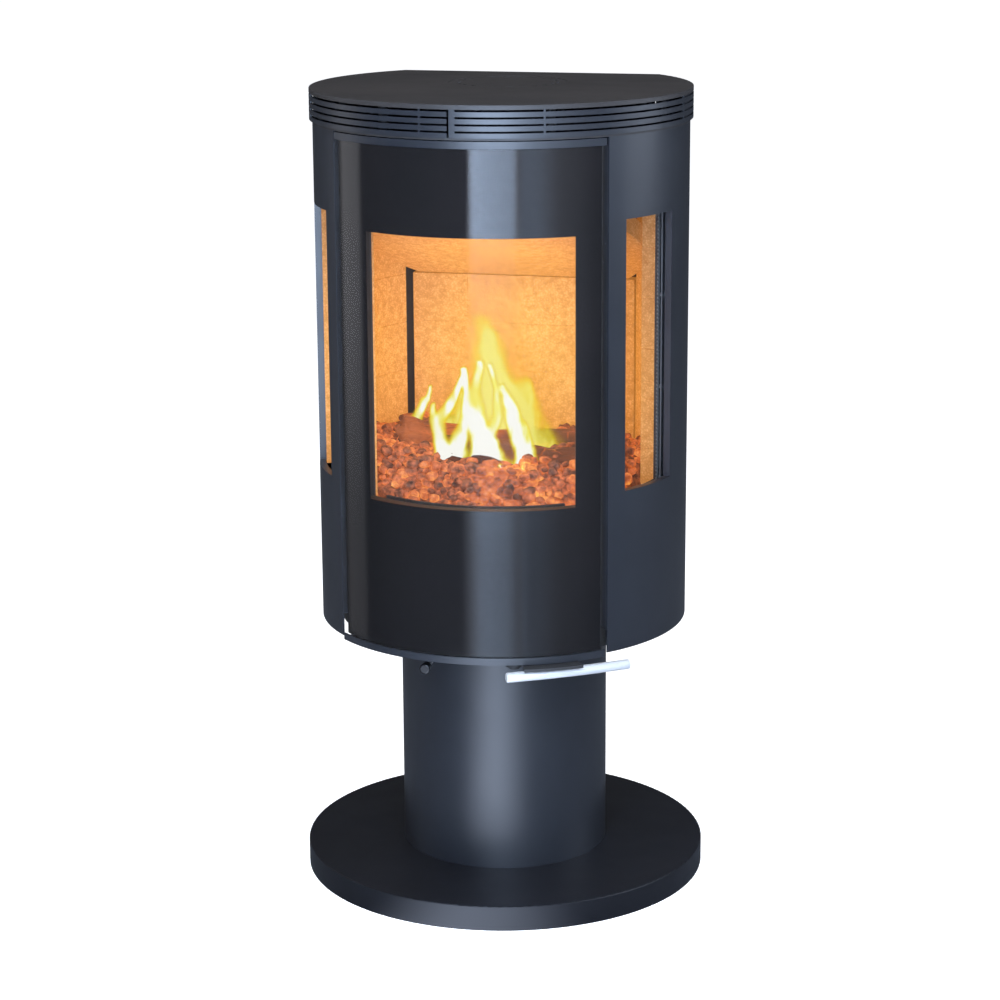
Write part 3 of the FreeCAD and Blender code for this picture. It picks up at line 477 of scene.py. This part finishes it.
def dress_cad():
    """Every carried-over CAD node gets the material of its slot, or its own where it differs."""
    looks = {
        "blue_grey_paint": paint("blue_grey_paint", (0.016, 0.017, 0.021), (0.021, 0.023, 0.028), 0.36, 0.7),
        "top_paint": paint("top_paint", (0.030, 0.027, 0.026), (0.042, 0.037, 0.035), 0.50),
        "inner_paint": paint("inner_paint", (0.020, 0.019, 0.019), (0.034, 0.032, 0.031), 0.62),
        "grey_frame_paint": paint("grey_frame_paint", (0.045, 0.048, 0.052), (0.062, 0.066, 0.072), 0.45),
        "steel": brushed("steel", (0.60, 0.60, 0.60), 0.34),
        "stainless": brushed("stainless", (0.90, 0.89, 0.87), 0.46, (0.05, 0.05, 1), 0.5),
        "brass": brushed("brass", (0.60, 0.42, 0.18), 0.35),
        "gloss_black": black_enamel("gloss_black"),
        "ceramic_glass": clear_glass("ceramic_glass"),
        "glass_tape": woven("glass_tape", (0.03, 0.03, 0.03), (0.16, 0.155, 0.15)),
        "firebrick": firebrick("firebrick", 0.95),
        "cast_iron": cast_iron("cast_iron"),
        "charred_wood": charred("charred_wood"),
        "embers": coals("embers"),
    }
    own = {
        "door_frame": paint("door_frame_paint", (0.014, 0.014, 0.015), (0.020, 0.020, 0.021), 0.55, 0.3),
        "base_cover": paint("base_paint", (0.008, 0.008, 0.010), (0.012, 0.012, 0.015), 0.42, 0.4),
    }
    for row in frame["record"]["subparts"]:
        node = frame["nodes"][row["node"]]
        material = own.get(row["node"], looks[row["material_slot"]])
        node.data.materials.clear()
        node.data.materials.append(material)
    return looks


# ---------------------------------------------------------------- the printed border of the door glass

def printed_border(material):
    """Black enamel behind the door glass, all round the clear window."""
    low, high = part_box("door_glass")
    bottom, top = low.z + 0.0005, high.z - 0.0005
    step = 1.0
    angles = {round(WINDOW_LEFT + k * step, 3) for k in range(-12, 75)}
    angles = sorted(angles | {-PRINT_EDGE, PRINT_EDGE, WINDOW_RIGHT})
    angles = [a for a in angles if -PRINT_EDGE <= a <= PRINT_EDGE]
    levels = [bottom, WINDOW_BOTTOM, WINDOW_TOP, top]
    vertices, index, faces = [], {}, []

    def corner(i, j, radius):
        key = (i, j, radius)
        if key not in index:
            index[key] = len(vertices)
            vertices.append(polar(radius, angles[i], levels[j]))
        return index[key]

    def kept(i, j):
        if not (0 <= i < len(angles) - 1 and 0 <= j < 3):
            return False
        return not (j == 1 and angles[i] >= WINDOW_LEFT - 1e-6 and angles[i + 1] <= WINDOW_RIGHT + 1e-6)

    for i in range(len(angles) - 1):
        for j in range(3):
            if not kept(i, j):
                continue
            corners = [(i, j), (i + 1, j), (i + 1, j + 1), (i, j + 1)]
            faces.append([corner(a, b, PRINT_OUTER) for a, b in corners])
            faces.append([corner(a, b, PRINT_INNER) for a, b in reversed(corners)])
            for side, beside in enumerate(((i, j - 1), (i + 1, j), (i, j + 1), (i - 1, j))):
                if not kept(*beside):
                    (a, b), (c, d) = corners[side], corners[(side + 1) % 4]
                    faces.append([corner(a, b, PRINT_INNER), corner(c, d, PRINT_INNER),
                                  corner(c, d, PRINT_OUTER), corner(a, b, PRINT_OUTER)])
    made = mesh_object("door_glass_print", vertices, faces, material)
    made.data.set_sharp_from_angle(angle=math.radians(30))
    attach(made, "door")


# ---------------------------------------------------------------- logs

def split_log(name, start, end, radius, flats, seed, burning, material, bark=0.0022):
    """A split billet from start to end. flats lists its split faces as (angle, distance in radii),
    and burning is how far it has turned to charcoal."""
    start, end = Vector(start), Vector(end)
    axis = (end - start).normalized()
    side = axis.cross(Vector((0, 0, 1))).normalized()
    up = side.cross(axis)
    rings, around = 96, 72
    vertices, faces, char = [], [], []
    shift = Vector((seed * 7.3, seed * 3.1, seed * 1.7))
    for j in range(rings + 1):
        along = j / rings
        middle = start.lerp(end, along)
        bend = Vector((0, 0, 0.006 * math.sin(along * 5 + seed)))
        bend += side * 0.005 * math.sin(along * 4 + seed * 2)
        taper = 1 - 0.10 * abs(along - 0.45) - 0.30 * max(0.0, abs(along - 0.5) - 0.46) / 0.04
        for i in range(around):
            angle = 2 * math.pi * i / around
            reach = 1.0
            flat = 0.0
            for turn, distance in flats:
                facing = math.cos(angle - math.radians(turn))
                if facing > 0.05 and distance / facing < reach:
                    reach = distance / facing
                    flat = 1.0
            direction = side * math.cos(angle) + up * math.sin(angle)
            spot = middle + direction * radius * reach
            lengthwise = axis * (spot - start).dot(axis)
            across = (spot - start) - lengthwise
            ridged = noise.fractal(across * 130 + lengthwise * 14 + shift, 1.0, 2.0, 4)
            lumps = noise.noise(spot * 38 + shift)
            eaten = max(0.0, noise.noise(spot * 21 - shift) - 0.1) * 0.010
            relief = bark if not flat else bark * 0.55
            grow = radius * reach * taper + relief * ridged + 0.0035 * lumps - eaten
            outwards = 1 if along > 0.98 else -1 if along < 0.02 else 0
            jag = axis * 0.008 * noise.noise(across * 90 + shift) * outwards
            vertices.append(middle + bend + direction * grow + jag)
            burnt = burning + 0.5 * noise.noise(spot * 16 + shift) + 0.5 * abs(along - 0.5)
            burnt += 2.0 * eaten / 0.01
            burnt += 0.5 if direction.z < -0.2 else 0.0
            char.append(min(1.0, max(0.0, burnt)))
    for j in range(rings):
        for i in range(around):
            k = (i + 1) % around
            faces.append((j * around + i, j * around + k, (j + 1) * around + k, (j + 1) * around + i))
    for j, flip in ((0, True), (rings, False)):
        ring = [j * around + i for i in range(around)]
        centre = len(vertices)
        vertices.append(sum((vertices[i] for i in ring), Vector()) / around)
        char.append(1.0)
        for i in range(around):
            a, b = ring[i], ring[(i + 1) % around]
            faces.append((b, a, centre) if flip else (a, b, centre))
    made = mesh_object(name, vertices, faces, material)
    set_attribute(made, "char", char)
    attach(made, "stove")
    return made


def make_logs(material):
    """Three split billets across the CAD's logs: in front, sloping down from the left, and behind."""
    low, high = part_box("logs")
    size = high - low

    def spot(x, y, z):
        return low + Vector((x * size.x, y * size.y, z * size.z))

    logs = [
        # (name, start, end, radius, split faces, seed, how far it has turned to charcoal)
        ("log_front", spot(0.25, 0.20, 0.40), spot(0.95, 0.30, 0.30), LOG_RADIUS,
         [(200, 0.62)], 1.0, 0.55),
        ("log_left", spot(0.03, 0.32, 0.62), spot(0.60, 0.50, 0.42), LOG_RADIUS,
         [(150, 0.8), (30, 0.7)], 2.0, 0.0),
        ("log_back", spot(0.08, 0.80, 0.35), spot(0.95, 0.62, 0.35), LOG_RADIUS,
         [(30, 0.66), (150, 0.8)], 3.0, 0.4),
    ]
    made = [split_log(*log, material) for log in logs]
    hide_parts("logs")


# ---------------------------------------------------------------- embers

def pile_height(x, y):
    """The top of the ember bed over the hearth. It rises behind the front edge and towards the left."""
    from_front = y + math.sqrt(max(0.0, BED_RADIUS ** 2 - x * x))
    slope = 0.020 + 0.034 * float(smooth(0.0, 0.06, from_front)) + 0.014 * float(smooth(0.02, 0.14, -x))
    return HEARTH + slope + 0.006 * noise.noise(Vector((x * 18, y * 18, 4.2)))


def ember_pile(material):
    """Broken glowing lumps, heaped loosely from the log guard to the back bricks."""
    chooser = random.Random(11)
    vertices, faces, warmths = [], [], []
    spacing = 0.0115
    count = int(BED_RADIUS / spacing) + 1
    spots = []
    for i in range(-count, count + 1):
        for j in range(-count, count + 1):
            x = (i + 0.5 * (j % 2) + chooser.uniform(-0.3, 0.3)) * spacing
            y = (j + chooser.uniform(-0.3, 0.3)) * spacing
            if math.hypot(x, y) > BED_RADIUS - 0.006 or y > BED_BACK:
                continue
            top = pile_height(x, y)
            spots.append((x, y, top - chooser.uniform(0.003, 0.007)))
            if chooser.random() < 0.45:
                spots.append((x + chooser.uniform(-0.004, 0.004),
                              y + chooser.uniform(-0.004, 0.004),
                              top + chooser.uniform(0.0, 0.006)))
    for x, y, z in spots:
        lump = bmesh.new()
        bmesh.ops.create_icosphere(lump, subdivisions=2, radius=1.0)
        size = chooser.uniform(0.0048, 0.0086)
        stretch = Vector((chooser.uniform(0.8, 1.4), chooser.uniform(0.8, 1.2), chooser.uniform(0.6, 1.0)))
        spin = Matrix.Rotation(chooser.uniform(0, 6.28), 3, "Z")
        turn = spin @ Matrix.Rotation(chooser.uniform(-0.6, 0.6), 3, "X")
        seed = Vector((chooser.uniform(0, 50), chooser.uniform(0, 50), chooser.uniform(0, 50)))
        glow = 0.56 + 0.34 * noise.noise(Vector((x * 22, y * 22, 1.0)))
        spot = math.hypot((x - 0.045) / 0.05, (y + 0.115) / 0.035)
        glow += 0.42 * max(0.0, 1 - spot)
        warmth = min(1.0, max(0.0, glow + chooser.uniform(-0.26, 0.22)))
        offset = len(vertices)
        for vertex in lump.verts:
            radius = 1 + 0.32 * noise.noise(vertex.co * 1.5 + seed)
            radius += 0.14 * noise.noise(vertex.co * 3.4 + seed)
            spread = turn @ Vector(a * b for a, b in zip(vertex.co * radius * size, stretch))
            vertices.append(Vector((x, y, z)) + spread)
            hollow = 0.78 + 0.22 * max(0.0, -vertex.co.z) + 0.12 * noise.noise(vertex.co * 2 + seed)
            warmths.append(warmth * hollow)
        for face in lump.faces:
            faces.append([offset + v.index for v in face.verts])
        lump.free()
    pile = mesh_object("ember_lumps", vertices, faces, material)
    set_attribute(pile, "warmth", warmths)
    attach(pile, "stove")
    bed = ash_bed(material)
    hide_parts("ember_bed")


def ash_bed(material):
    """The ash and small embers between the lumps: a closed mound on the hearth."""
    rings, around = 26, 96
    vertices, faces = [Vector((0, 0, pile_height(0, 0) - 0.006))], []
    for j in range(1, rings + 1):
        for i in range(around):
            angle = 360 * i / around
            spot = polar((BED_RADIUS - 0.002) * j / rings, angle, 0)
            spot.y = min(spot.y, 0.118)
            ripple = noise.noise(Vector((spot.x * 60, spot.y * 60, 9)))
            spot.z = pile_height(spot.x, spot.y) - 0.007 + 0.003 * ripple
            vertices.append(spot)
    for i in range(around):
        k = (i + 1) % around
        faces.append((0, 1 + i, 1 + k))
        for j in range(rings - 1):
            a, b = 1 + j * around, 1 + (j + 1) * around
            faces.append((a + i, b + i, b + k, a + k))
    rim = len(vertices)
    for i in range(around):
        spot = vertices[1 + (rings - 1) * around + i]
        vertices.append(Vector((spot.x, spot.y, HEARTH + 0.0005)))
    last = 1 + (rings - 1) * around
    for i in range(around):
        k = (i + 1) % around
        faces.append((last + i, rim + i, rim + k, last + k))
    faces.append([rim + i for i in reversed(range(around))])
    bed = mesh_object("ash_bed", vertices, faces, material)
    set_attribute(bed, "warmth", [0.34 + 0.25 * noise.noise(v * 30) for v in vertices])
    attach(bed, "stove")
    return bed


# ---------------------------------------------------------------- flames

def stroke_field(u, v, strokes, crisp):
    """Strength of tapering strokes at the points u, v. Strokes near one another run together."""
    field = np.zeros_like(u)
    for points, start_width, end_width, strength in strokes:
        lengths = [math.dist(a, b) for a, b in zip(points, points[1:])]
        total = sum(lengths)
        done = 0.0
        best = np.full_like(u, 9.0)
        for (a, b), length in zip(zip(points, points[1:]), lengths):
            du, dv = b[0] - a[0], b[1] - a[1]
            t = np.clip(((u - a[0]) * du + (v - a[1]) * dv) / (length * length), 0, 1)
            distance = np.hypot(u - a[0] - t * du, v - a[1] - t * dv)
            share = (done + t * length) / total
            best = np.minimum(best, distance / (start_width + (end_width - start_width) * share))
            done += length
        field += strength * np.exp(-0.9 * best ** crisp)
    return field


def ridges(points, detail):
    """Ridged turbulence: bright folds with soft dark gaps between them."""
    return np.array([1 - abs(noise.fractal(p, 0.8, 2.1, detail)) * 1.6 for p in points])


def flame_sheet(name, middle, turn, size, strokes, seed, material,
                sway=0.012, cell=0.0024, calm=0.35, hottest=1.0):
    """An upright wavy sheet of flame around middle, turned about the vertical, without its cold faces.
    calm is how little the folds break it up, and hottest is the most warmth it reaches."""
    columns, rows = int(size[0] / cell), int(size[1] / cell)
    across = Vector((math.cos(math.radians(turn)), math.sin(math.radians(turn)), 0))
    depth = Vector((-across.y, across.x, 0))
    us = np.linspace(-size[0] / 2, size[0] / 2, columns + 1)
    vs = np.linspace(0, size[1], rows + 1)
    u, v = (a.ravel() for a in np.meshgrid(us, vs))
    spots = list(zip(u, v))
    sweep = np.array([noise.noise(Vector((x * 11, z * 8 - seed, seed))) for x, z in spots])
    curl = np.array([noise.noise(Vector((x * 34, z * 20 - seed, seed + 5))) for x, z in spots])
    lift = np.array([noise.noise(Vector((x * 30, z * 15, seed + 9))) for x, z in spots])
    bent_u = u + 0.006 * sweep + 0.006 * curl
    bent_v = v + 0.006 * lift
    field = stroke_field(bent_u, bent_v, strokes, 3 if hottest == 1 else 2)
    folds = ridges([Vector((x * 26, z * 11 - seed, seed + 13)) for x, z in zip(bent_u, bent_v)], 4)
    warmth = 1 - np.exp(-1.15 * field * np.clip(calm + (1.35 - calm) * folds * folds, 0.05, 1.4))
    edge = smooth(0, 0.02, u - us[0]) * smooth(0, 0.02, us[-1] - u)
    edge = edge * smooth(0, 0.02, vs[-1] - v) * smooth(0, 0.008, v)
    warmth = np.clip(warmth * edge, 0, hottest)
    middle = Vector(middle)
    vertices = [middle + across * x + Vector((0, 0, z)) + depth * (sway * w)
                for x, z, w in zip(u, v, sweep + 0.3 * lift)]
    faces = []
    for j in range(rows):
        for i in range(columns):
            a = j * (columns + 1) + i
            quad = (a, a + 1, a + columns + 2, a + columns + 1)
            if max(warmth[q] for q in quad) > COLDEST_FLAME:
                faces.append(quad)
    made = mesh_object(name, vertices, faces, material)
    set_attribute(made, "warmth", warmth)
    loose = bmesh.new()
    loose.from_mesh(made.data)
    bmesh.ops.delete(loose, geom=[w for w in loose.verts if not w.link_faces], context="VERTS")
    loose.to_mesh(made.data)
    loose.free()
    made.visible_shadow = False
    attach(made, "stove")


def tongues(seed, count, spread, reach, width, strength):
    """Tapering strokes that rise side by side, sway and lean to the middle, tallest near the middle."""
    chooser = random.Random(seed)
    strokes = []
    for k in range(count):
        start = spread * ((2 * k + 1) / count - 1 + chooser.uniform(-0.5, 0.5) / count)
        height = reach * (1 - 0.5 * abs(start / spread) ** 1.5) * chooser.uniform(0.7, 1.0)
        sway, phase = height * chooser.uniform(0.05, 0.11), chooser.uniform(0, 6.28)
        lean = -0.35 * start
        points = [(start + lean * t + sway * (math.sin(phase + 5 * t) - math.sin(phase)), height * t)
                  for t in (0.0, 0.2, 0.4, 0.6, 0.8, 1.0)]
        thick = width * chooser.uniform(0.7, 1.2)
        strokes.append((points, thick, 0.3 * thick, strength * chooser.uniform(0.8, 1.1)))
    return strokes


def make_flames(material):
    """Sheets of flame over the ember bed, one behind another, and one more behind the right side window."""
    low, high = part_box("ember_bed")
    centre, half = (low + high) / 2, (high - low) / 2
    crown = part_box("baffle_plate")[0].z - high.z

    def sheet(name, x, y, lift, turn, size, strokes, seed, *rest):
        place = (centre.x + x * half.x, centre.y + y * half.y, high.z + lift)
        flame_sheet(name, place, turn, size, strokes, seed, material, *rest)

    haze = tongues(31, 4, 0.085, 0.92 * crown, 0.044, 1.0)
    main = tongues(14, 7, 0.085, 0.86 * crown, 0.013, 2.6) + tongues(15, 3, 0.045, 0.45 * crown, 0.024, 2.2)
    side = tongues(52, 3, 0.030, 0.45 * crown, 0.011, 2.2)
    licks = tongues(77, 8, 0.085, 0.22 * crown, 0.006, 2.2)
    end = tongues(93, 2, 0.014, 0.50 * crown, 0.010, 2.2) + tongues(94, 1, 0.002, 0.85 * crown, 0.010, 1.0)
    sheet("flame_haze", -0.10, 0.05, 0.010, 6, (0.33, crown), haze, 3.1, 0.006, 0.0032, 0.7, 0.70)
    sheet("flame_main", -0.08, -0.50, 0.006, 8, (0.27, crown), main, 1.4, 0.008, 0.0022, 0.4)
    sheet("flame_left", -0.66, -0.10, 0.045, 14, (0.10, 0.6 * crown), side, 5.2, 0.008)
    sheet("flame_licks", 0.00, -0.62, -0.004, 8, (0.26, 0.4 * crown), licks, 7.7, 0.004)
    sheet("flame_right", 0.88, 0.20, 0.010, 13, (0.075, 0.95 * crown), end, 9.3, 0.003)


def window_jamb():
    """Fire-lit insulation edge inside the left side window: an upright strip against the side glass."""
    outer, inner, first, last = 0.2400, 0.2275, -78.3, -75.4
    bottom, top = 0.565, 0.926
    vertices, faces = [], []
    rows = 24
    for j in range(rows + 1):
        z = bottom + (top - bottom) * j / rows
        vertices += [polar(outer, first, z), polar(outer, last, z),
                     polar(inner, last, z), polar(inner, first, z)]
    for j in range(rows):
        for i in range(4):
            k = (i + 1) % 4
            faces.append((4 * j + i, 4 * j + k, 4 * j + 4 + k, 4 * j + 4 + i))
    faces += [(3, 2, 1, 0), tuple(4 * rows + i for i in range(4))]
    # The jamb's firelight is painted: its material glows like the firebrick's.
    lit = firebrick("lit_jamb", 1.1)
    made = mesh_object("side_window_jamb_left", vertices, faces, lit, shade_smooth=False)
    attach(made, "stove")


make_camera()
make_world()
make_lights()
make_floor()
looks = dress_cad()
printed_border(black_enamel("print_enamel"))
make_logs(looks["charred_wood"])
ember_pile(looks["embers"])
make_flames(flame("flame"))
window_jamb()

scene.view_settings.view_transform = "Standard"
scene.cycles.transparent_max_bounces = 24
